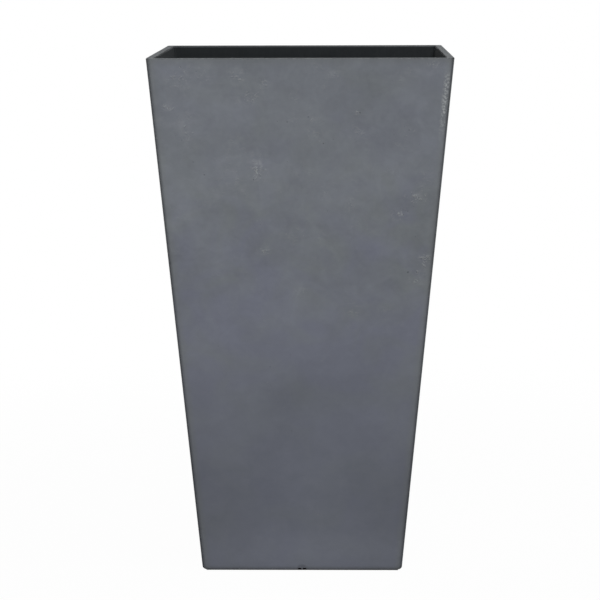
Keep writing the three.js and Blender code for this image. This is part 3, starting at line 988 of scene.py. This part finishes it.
def pad_pocket(points, row_pair, block, centre, first):
    """A round pocket in the underside in place of a block of faces: a rim, a wall and a flat ceiling."""
    steps = PAD_POCKET_STEPS
    turn = np.arange(steps) / steps * 2 * math.pi - math.pi
    ring = np.stack([centre[0] - PAD_POCKET_RADIUS * np.cos(turn),
                     centre[1] + PAD_POCKET_RADIUS * np.sin(turn)], 1)
    low, high = SHELL_BOX[0].z, PAD_POCKET_TOP
    made = np.concatenate([
        np.column_stack([ring, np.full(steps, low)]),
        np.column_stack([ring, np.full(steps, high)]),
        [[*centre, high]],
    ])
    rim = first + np.arange(steps)
    ceiling = rim + steps
    border = np.concatenate([row_pair[0][block], row_pair[1][block]])
    place = points[border, :2] - centre
    angle = np.arctan2(place[:, 1], -place[:, 0])
    order = np.argsort(angle)
    faces = zipped(border[order], angle[order], rim, turn)
    faces += band(rim, ceiling).tolist()
    pole = first + 2 * steps
    faces += np.stack([ceiling, np.roll(ceiling, -1), np.full(steps, pole)], 1).tolist()
    return made, faces


def fine_places_kept(fine, coarse):
    """For each coarse column, the number of the fine column nearest to it."""
    offset = np.linalg.norm(fine.square[None] - coarse.square[:, None], axis=2)
    offset += np.linalg.norm(fine.outward[None] - coarse.outward[:, None], axis=2)
    return np.argmin(offset, axis=1)


def shell_surface(sizes):
    """Points, faces and masks of the whole shell."""
    random = np.random.default_rng(sizes.pinholes)
    groups = all_round(FRONT_GROUPS, sizes, random)
    stains_and_painted_light = all_round(FRONT_STAINS_AND_PAINTED_LIGHT, sizes, random)
    fine, coarse = Columns(foot_stops(sizes)), Columns(wall_stops())
    half, z, corner, outer_from = foot_profile(sizes)
    foot, domed = notched(fine.carried(half, z, corner), fine, sizes, outer_from)
    half, z, corner, outside = body_profile(sizes)
    body = coarse.carried(half, z, corner)
    hollow = waviness(coarse, z[:outside], sizes, SHELL_HOLLOWS)
    body[:outside, :, :2] -= hollow[..., None] * coarse.outward

    foot_ids = numbered(foot)
    body_ids = numbered(body, foot_ids.size)
    points = [foot.reshape(-1, 3), body.reshape(-1, 3)]
    total = foot_ids.size + body_ids.size

    kept = fine_places_kept(fine, coarse)
    faces = fans(foot_ids[-1], body_ids[0], kept, True)
    faces += fans(foot_ids[0], body_ids[-1], kept, False)

    cells, chosen = pinhole_cells(sizes, body[:outside], coarse, groups, random)
    wall = bands(body_ids[:outside]).reshape(outside - 1, -1, 4)
    faces += wall[~chosen].tolist()
    faces += bands(body_ids[outside - 1:]).tolist()
    pits, pit_faces, shade, chalk = pinhole_patches(body, body_ids, cells, random, total)
    points.append(pits)
    faces += pit_faces
    total += len(pits)

    under = outer_from - 1
    foot_faces = bands(foot_ids).reshape(len(foot) - 1, -1, 4)
    open_columns = np.zeros(foot.shape[1], bool)
    flat_points = foot.reshape(-1, 3)
    for corner_x, corner_y in ((-1, -1), (1, -1), (1, 1), (-1, 1)):
        centre = np.array([corner_x, corner_y]) * PAD_OFFSET
        near = np.abs(fine.square - [corner_x, corner_y]).sum(1) < PAD_POCKET_REACH
        block = np.flatnonzero(near)
        start = block[np.argmax(~near[block - 1])]
        block = (start + np.arange(len(block))) % len(near)
        open_columns[block[:-1]] = True
        made, pocket_faces = pad_pocket(
            flat_points, (foot_ids[under], foot_ids[under + 1]), block, centre, total)
        points.append(made)
        faces += pocket_faces
        total += len(made)
    for row in range(len(foot_faces)):
        faces += (foot_faces[row][~open_columns] if row == under else foot_faces[row]).tolist()
    points = np.concatenate(points)
    masks = {name: np.zeros(total) for name in ("pinhole", "chalk")}
    pit = slice(foot_ids.size + body_ids.size, foot_ids.size + body_ids.size + len(pits))
    # The dome's painted shade, carried in the pinholes' mask.
    masks["pinhole"][:foot_ids.size] = DOME_SHADE * domed.ravel()
    masks["pinhole"][pit] = shade
    masks["chalk"][pit] = chalk
    masks["speckled"] = np.clip(strength_at(points, groups), 0, 1)
    masks["stain_and_painted_light"] = strength_at(points, stains_and_painted_light)
    return points, faces, masks


# The lining

LINING_THICKNESS = 3.0 * MM
LINING_HOLLOWS = 0.6 * MM
FLOOR_FALL = 2 * MM
FLOOR_FLAT_HALF = 34 * MM
FLOOR_FILLET = 8 * MM
FLOOR_SQUARISH_HALF = 28 * MM
FLOOR_ROUND_RADIUS = 22 * MM
SPOUT_RADIUS = 19 * MM
DRAIN_TOP_RADIUS = 16.5 * MM
DRAIN_END_RADIUS = 14.5 * MM
DRAIN_ROUNDING = 0.8 * MM


def lining_profile(sizes):
    """Closed profile: up the spout and the tub's outside, over its top, down inside, in to the drain.

    Each part has its share of roundness, which rises from the square tub to the round drain. Returns the
    half widths, heights and roundness, and where the inside's rows start and how many they are.
    """
    bottom = LINING_BOX[0].z
    plate = PANEL_BOX[1].z + FIT_GAP
    floor_low = plate + LINING_THICKNESS
    floor_high = floor_low + FLOOR_FALL
    top = sizes.height - sizes.lip_depth - 0.05 * MM
    outside = sizes.rim_width - LINING_THICKNESS
    fillet_z = floor_high + FLOOR_FILLET
    fillet_half = float(wall_half(sizes, fillet_z)) - sizes.rim_width - FLOOR_FILLET
    inner_z = np.linspace(top, fillet_z + 4 * MM, 64)
    inner = np.stack([wall_half(sizes, inner_z) - sizes.rim_width, inner_z], 1)
    fillet = arc(fillet_half, fillet_z, FLOOR_FILLET, -wall_lean(sizes), -math.pi / 2, 8)
    slope = np.linspace(fillet[-1], [FLOOR_FLAT_HALF, floor_low], 8)[1:]
    drain_edge = arc(DRAIN_TOP_RADIUS + DRAIN_ROUNDING, floor_low - DRAIN_ROUNDING, DRAIN_ROUNDING,
                     math.pi / 2, math.pi, 4)
    rows = [
        ([[SPOUT_RADIUS, bottom], [SPOUT_RADIUS, plate]], 1.0),
        ([[wall_half(sizes, plate) - outside, plate], [wall_half(sizes, top) - outside, top]], 0.0),
        (inner, 0.0), (fillet, 0.0), (slope, 0.0),
        ([[FLOOR_SQUARISH_HALF, floor_low]], 0.5), ([[FLOOR_ROUND_RADIUS, floor_low]], 1.0),
        (drain_edge, 1.0),
        ([[DRAIN_END_RADIUS, bottom]], 1.0),
    ]
    profile = np.concatenate([np.array(part, float) for part, _ in rows])
    roundness = np.concatenate([np.full(len(part), share) for part, share in rows])
    inner_from = len(rows[0][0]) + len(rows[1][0])
    return profile[:, 0], profile[:, 1], roundness, inner_from, len(inner)


def lining_surface(sizes):
    """Points and faces of the tub, whose profile closes on itself."""
    columns = Columns(wall_stops())
    half, z, roundness, inner_from, inner_count = lining_profile(sizes)
    corner = np.minimum(sizes.inner_corner, half)
    points = columns.carried(half, z, corner, roundness)
    inside = slice(inner_from, inner_from + inner_count)
    hollow = waviness(columns, z[inside], sizes, LINING_HOLLOWS)
    points[inside, :, :2] -= hollow[..., None] * columns.outward
    ids = numbered(points)
    faces = bands(ids).tolist() + band(ids[-1], ids[0]).tolist()
    return points.reshape(-1, 3), faces


# The plug

PLUG_FLANGE_RADIUS = 23 * MM
PLUG_FLANGE_THICKNESS = 3.5 * MM
PLUG_TAPER = (16.2 * MM, 14.2 * MM)
PLUG_END_ROUNDING = 2 * MM
PLUG_STEPS = 96
RIB_HEIGHT = 0.35 * MM
FLANGE_LOWER_ROUNDING = 0.6 * MM
FLANGE_UPPER_ROUNDING = 1.5 * MM
GROOVE_RADIUS = 19 * MM
GROOVE_HALF_WIDTH = 1.2 * MM
GROOVE_DEPTH = 0.25 * MM
LOOP_WIDTH = 30 * MM
LOOP_HEIGHT = 26 * MM
LOOP_THICKNESS = 6 * MM
LOOP_HOLE_WIDTH = 16 * MM
LOOP_HOLE_HEIGHT = 13 * MM
LOOP_HOLE_RISE = 5 * MM
LOOP_HOLE_ROUNDING = 2 * MM
LOOP_ROUNDING = 0.8 * MM
LOOP_SUNK = 1 * MM
LOOP_STEPS = 28
LOOP_SQUARENESS = 0.35


def stopper_profile():
    """Tapered stem with sealing ribs, under a round-edged flange with a ring groove on top.

    The ribs are the positive half of a cosine that turns three times up the stem, and the groove is the
    middle half turn of another.
    """
    low = PLUG_BOX[0].z
    flange_top = PLUG_BOX[1].z - LOOP_HEIGHT
    seat = flange_top - PLUG_FLANGE_THICKNESS
    top_radius, end_radius = PLUG_TAPER
    stem_z = np.linspace(low + PLUG_END_ROUNDING, seat - FIT_GAP, 25)
    share = (stem_z - low) / (seat - low)
    ribs = RIB_HEIGHT * np.clip(np.cos(share * 2 * math.pi * 3), 0, 1)
    stem = np.stack([end_radius + (top_radius - end_radius) * share - RIB_HEIGHT + ribs, stem_z], 1)
    foot = arc(end_radius - PLUG_END_ROUNDING, low + PLUG_END_ROUNDING, PLUG_END_ROUNDING - RIB_HEIGHT,
               -math.pi / 2, 0, 6)
    foot[:, 1] = low + (foot[:, 1] - foot[0, 1])
    lower = arc(PLUG_FLANGE_RADIUS - FLANGE_LOWER_ROUNDING, seat + FLANGE_LOWER_ROUNDING,
                FLANGE_LOWER_ROUNDING, -math.pi / 2, 0, 4)
    upper = arc(PLUG_FLANGE_RADIUS - FLANGE_UPPER_ROUNDING, flange_top - FLANGE_UPPER_ROUNDING,
                FLANGE_UPPER_ROUNDING, 0, math.pi / 2, 8)
    ring_radius = np.linspace(PLUG_FLANGE_RADIUS - 2.5 * MM, 4 * MM, 40)
    from_groove = np.clip(np.abs(ring_radius - GROOVE_RADIUS) / GROOVE_HALF_WIDTH, 0, 1)
    groove = GROOVE_DEPTH * np.cos(from_groove * math.pi / 2)
    ring = np.stack([ring_radius, flange_top - groove], 1)
    inner_seat = np.array([[top_radius + 0.1 * MM, seat]])
    return np.concatenate([foot, stem, inner_seat, lower, upper, ring])


def arch(share, half_width, bottom, shoulder, rounding):
    """Points of an arch with a rounded sill, for shares 0 to 4 of its sill, side, half-round and side.

    Past the sill's corners a point is drawn in towards the corner's centre, to no more than its rounding.
    """
    part, along = np.divmod(share, 1.0)
    turn = along * math.pi
    x = np.select([part == 0, part == 1, part == 2],
                  [half_width * (2 * along - 1), half_width, half_width * np.cos(turn)], -half_width)
    z = np.select([part == 0, part == 1, part == 2],
                  [bottom, bottom + (shoulder - bottom) * along, shoulder + half_width * np.sin(turn)],
                  shoulder - (shoulder - bottom) * along)
    near_x = np.clip((np.abs(x) - (half_width - rounding)) / rounding, 0, 1)
    near_z = np.clip((bottom + rounding - z) / rounding, 0, 1)
    pull = np.maximum(np.hypot(near_x, near_z), 1)
    in_corner = near_x * near_z > 0
    x = np.sign(x) * np.where(in_corner, half_width - rounding + near_x / pull * rounding, np.abs(x))
    z = np.where(in_corner, bottom + rounding - near_z / pull * rounding, z)
    return np.stack([x, z], -1)


def loop_surface():
    """The pull loop: for each place round its hole, a squarish oval from the hole's edge to the outline.

    The oval is the middle plus half the span times cos^e and half the thickness times sin^e, e being the
    squareness, with the sign of each kept.
    """
    base = PLUG_BOX[1].z - LOOP_HEIGHT
    share = np.concatenate([np.linspace(0, 1, 17)[:-1], np.linspace(1, 2, 9)[:-1],
                            np.linspace(2, 3, 33)[:-1], np.linspace(3, 4, 9)[:-1]])
    hole_half, half = LOOP_HOLE_WIDTH / 2, LOOP_WIDTH / 2
    hole = arch(share, hole_half, base + LOOP_HOLE_RISE,
                base + LOOP_HOLE_RISE + LOOP_HOLE_HEIGHT - hole_half, LOOP_HOLE_ROUNDING)
    outline = arch(share, half, base - LOOP_SUNK, base + LOOP_HEIGHT - half, LOOP_ROUNDING)
    turn = np.arange(LOOP_STEPS) / LOOP_STEPS * 2 * math.pi
    across = np.sign(np.cos(turn)) * np.abs(np.cos(turn)) ** LOOP_SQUARENESS
    thick = np.sign(np.sin(turn)) * np.abs(np.sin(turn)) ** LOOP_SQUARENESS
    middle, reach = (hole + outline) / 2, (outline - hole) / 2
    level = middle[:, None] + reach[:, None] * across[None, :, None]
    y = -np.broadcast_to(thick * LOOP_THICKNESS / 2, level.shape[:2])
    points = np.stack([level[..., 0], y, level[..., 1]], -1)
    ids = numbered(points)
    faces = np.concatenate([bands(ids), band(ids[-1], ids[0])])
    return points.reshape(-1, 3), faces.tolist()


# The foot pads

PAD_RADIUS = 9 * MM
PAD_ROUNDING = 0.5 * MM
PAD_CHAMFER = 0.3 * MM
PAD_GROOVE_DEPTH = 0.22 * MM
PAD_STEPS = 72


def pad_profile(low, high):
    """A disc with a rounded standing edge, a chamfer on top, and ring grooves underneath.

    The grooves are the positive halves of a sine that turns four times from the middle to the edge.
    """
    ring = np.linspace(0.8 * MM, PAD_RADIUS - 1.2 * MM, 36)
    groove = PAD_GROOVE_DEPTH * np.clip(np.sin(ring / (PAD_RADIUS / 4) * 2 * math.pi), 0, 1)
    under = np.stack([ring, low + groove], 1)
    edge = arc(PAD_RADIUS - PAD_ROUNDING, low + PAD_ROUNDING, PAD_ROUNDING, -math.pi / 2, 0, 4)
    side = np.array([[PAD_RADIUS, high - PAD_CHAMFER], [PAD_RADIUS - PAD_CHAMFER, high]])
    return np.concatenate([under, edge, side])


# Operators

class PLANTER_OT_shell(bpy.types.Operator):
    """Moulded shell with its rim, bottom edge, weep notches, pad pockets and pinholes"""

    bl_idname = "planter.shell"
    bl_label = "Shell"

    def execute(self, context):
        scene = context.scene
        points, faces, masks = shell_surface(scene.planter_sizes)
        material = shell_material(scene.planter_sizes, scene.planter_finish)
        new_piece("planter_shell", points, faces, material, "planter",
                  ["outer_shell"], masks)
        return {"FINISHED"}


class PLANTER_OT_lining(bpy.types.Operator):
    """Near-black tub with a falling floor and a drain spout"""

    bl_idname = "planter.lining"
    bl_label = "Lining"

    def execute(self, context):
        scene = context.scene
        points, faces = lining_surface(scene.planter_sizes)
        new_piece("planter_lining", points, faces, lining_material(scene.planter_finish), "planter",
                  ["inner_lining"])
        return {"FINISHED"}


class PLANTER_OT_base_panel(bpy.types.Operator):
    """Finish of the laminate board on the foot flange"""

    bl_idname = "planter.base_panel"
    bl_label = "Base panel"

    def execute(self, context):
        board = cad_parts["base_panel"]
        board.data.materials.clear()
        board.data.materials.append(laminate_material(context.scene.planter_finish))
        return {"FINISHED"}


class PLANTER_OT_plug(bpy.types.Operator):
    """Rubber drain plug: a stopper and its pull loop"""

    bl_idname = "planter.plug"
    bl_label = "Drain plug"

    def execute(self, context):
        rubber = rubber_material("plug_black_rubber", context.scene.planter_finish)
        profile = stopper_profile()
        points, faces = capped(lathe(profile, PLUG_STEPS), (0, 0, profile[0, 1]), (0, 0, profile[-1, 1]))
        new_piece("plug_stopper", points, faces, rubber, "plug", ["drain_plug"])
        points, faces = loop_surface()
        new_piece("plug_pull_loop", points, faces, rubber, "plug", ["drain_plug"])
        return {"FINISHED"}


class PLANTER_OT_foot_pads(bpy.types.Operator):
    """Four rubber pads in their pockets"""

    bl_idname = "planter.foot_pads"
    bl_label = "Foot pads"

    def execute(self, context):
        rubber = rubber_material("pad_black_rubber", context.scene.planter_finish)
        for node in PAD_NODES:
            low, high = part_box(node)
            profile = pad_profile(low.z, high.z)
            middle = (low + high) / 2
            points, faces = capped(lathe(profile, PAD_STEPS), (0, 0, low.z), (0, 0, high.z))
            points = points + np.array([middle.x, middle.y, 0])
            new_piece(node.replace("foot_pad", "pad"), points, faces, rubber, "planter",
                      [node])
        return {"FINISHED"}


class PLANTER_OT_stage(bpy.types.Operator):
    """White floor, soft lights and the camera"""

    bl_idname = "planter.stage"
    bl_label = "Stage"

    def execute(self, context):
        stage = context.scene.planter_stage
        add_floor(stage, context.scene.planter_sizes)
        add_room_light(context.scene, stage)
        add_softbox("key_light", (0, -1.4, 0.66), (0, 0, 0.62), (0.6, 0.4), stage.key_power)
        add_softbox("top_light", (0.5, -0.6, 2.4), (0, 0, 0.7), (1.0, 0.8), stage.top_power)
        add_softbox("rear_top_light", (0, 1.5, 1.7), (0, -0.1, 0.68), (0.8, 0.6), stage.rear_power)
        add_softbox("low_fill", (0, -0.37, 0.035), (0, -0.14, 0.04), (0.16, 0.05), stage.fill_power)
        add_softbox("rear_left_light", (-2.0, 2.4, 0.42), (0, 0, 0.35), (1.2, 0.7), stage.left_power)
        add_softbox("rear_right_light", (2.0, 2.4, 0.42), (0, 0, 0.35), (1.2, 0.7), stage.right_power)
        add_camera(context.scene, stage)
        context.scene.view_settings.view_transform = "Standard"
        return {"FINISHED"}


# Stage

def seen_straight(board):
    """1 for rays from the camera and for reflected and refracted ones, which see a white background."""
    rays = board.node("ShaderNodeLightPath", {}, {}, "Is Camera Ray").socket.node.outputs
    camera, glossy, through = (
        Wire(board, rays[name]) for name in ("Is Camera Ray", "Is Glossy Ray", "Is Transmission Ray"))
    return (camera + glossy + through).clamped()


FLOOR_REACH = 12.0
UNDER_PLANTER_INSET = 5 * MM


def add_floor(stage, sizes):
    """A plain pale sheet on the ground.

    The camera sees it as nearly plain white near the planter, where it keeps a faint shadow, and as all
    white far away. Under the planter it is painted nearly black, as painted shade that darkens the weep
    slots.
    """
    material, board = new_material("floor_white")
    x, y, _ = board.split(board.object_place())
    foot = sizes.base_width / 2 - UNDER_PLANTER_INSET
    # Beyond the planter's footprint the floor is pale; inside it the floor is painted nearly black, as
    # painted shade.
    clear = board.maths("GREATER_THAN", board.maths("MAXIMUM", abs(x), abs(y)), foot)
    grey = board.blend(clear, rgba([0.02] * 3), rgba([stage.floor_grey] * 3))
    pale = board.node("ShaderNodeBsdfDiffuse", {}, {"Color": grey})
    white = board.node("ShaderNodeEmission", {}, {"Color": (1, 1, 1, 1), "Strength": 1.0})
    far = (x * x + y * y).rising(0.2, 2.5)
    share = seen_straight(board) * clear * (far * 0.02 + 0.98)
    board.surface(board.node("ShaderNodeMixShader", {}, {0: share, 1: pale, 2: white}))
    corners = np.array([[-1, -1, 0], [1, -1, 0], [1, 1, 0], [-1, 1, 0]]) * FLOOR_REACH
    mesh = bpy.data.meshes.new("floor")
    mesh.from_pydata(corners, [], [(0, 1, 2, 3)])
    mesh.materials.append(material)
    floor = bpy.data.objects.new("floor", mesh)
    bpy.context.scene.collection.objects.link(floor)


def add_room_light(scene, stage):
    """Even light from all round, behind a background that the camera sees as white."""
    world = bpy.data.worlds.new("studio")
    world.use_nodes = True
    scene.world = world
    board = Board(world.node_tree)
    seen = seen_straight(board)
    strength = seen + (1 - seen) * stage.room_light
    light = board.node("ShaderNodeBackground", {}, {"Color": (1, 1, 1, 1), "Strength": strength})
    board.node("ShaderNodeOutputWorld", {}, {"Surface": light})


def add_softbox(name, place, aim, size, power):
    """A rectangular light that shines from its place towards a point, and that the camera doesn't see."""
    data = bpy.data.lights.new(name, "AREA")
    data.shape = "RECTANGLE"
    data.size, data.size_y = size
    data.energy = power
    softbox = bpy.data.objects.new(name, data)
    softbox.location = place
    softbox.rotation_euler = (Vector(aim) - Vector(place)).to_track_quat("-Z", "Y").to_euler()
    softbox.visible_camera = False
    bpy.context.scene.collection.objects.link(softbox)


def add_camera(scene, stage):
    """The photograph's camera: turned by its roll, pitch and yaw from looking level along +Y."""
    data = bpy.data.cameras.new("camera")
    data.sensor_width = 36
    data.lens = stage.lens
    data.clip_end = 100
    camera = bpy.data.objects.new("camera", data)
    pitch, roll, yaw = stage.camera_turn
    camera.matrix_world = (
        Matrix.Translation(stage.camera_place) @ Matrix.Rotation(yaw, 4, "Z")
        @ Matrix.Rotation(pitch, 4, "X") @ Matrix.Rotation(roll, 4, "Y")
        @ Matrix.Rotation(math.pi / 2, 4, "X"))
    scene.collection.objects.link(camera)
    scene.camera = camera


PIECE_OPERATORS = [
    PLANTER_OT_stage, PLANTER_OT_shell, PLANTER_OT_lining, PLANTER_OT_base_panel, PLANTER_OT_plug,
    PLANTER_OT_foot_pads,
]


class PLANTER_PT_panel(bpy.types.Panel):
    """Lists the planter's pieces, sizes and finishes"""

    bl_idname = "PLANTER_PT_panel"
    bl_label = "Tall Planter"
    bl_space_type = "VIEW_3D"
    bl_region_type = "UI"
    bl_category = "Planter"

    def draw(self, context):
        for operator in PIECE_OPERATORS:
            self.layout.operator(operator.bl_idname)
        for group in (context.scene.planter_sizes, context.scene.planter_finish,
                      context.scene.planter_stage):
            box = self.layout.box()
            for name in group.__annotations__:
                box.prop(group, name)


CLASSES = [PlanterSizes, PlanterFinish, PlanterStage, *PIECE_OPERATORS, PLANTER_PT_panel]


def register():
    for made in CLASSES:
        bpy.utils.register_class(made)
    bpy.types.Scene.planter_sizes = PointerProperty(type=PlanterSizes)
    bpy.types.Scene.planter_finish = PointerProperty(type=PlanterFinish)
    bpy.types.Scene.planter_stage = PointerProperty(type=PlanterStage)


def unregister():
    del bpy.types.Scene.planter_stage
    del bpy.types.Scene.planter_finish
    del bpy.types.Scene.planter_sizes
    for made in reversed(CLASSES):
        bpy.utils.unregister_class(made)


def main():
    """Builds the planter on its stage."""
    register()
    bpy.ops.planter.stage()
    bpy.ops.planter.shell()
    bpy.ops.planter.lining()
    bpy.ops.planter.base_panel()
    bpy.ops.planter.plug()
    bpy.ops.planter.foot_pads()


if __name__ == "__main__":
    main()
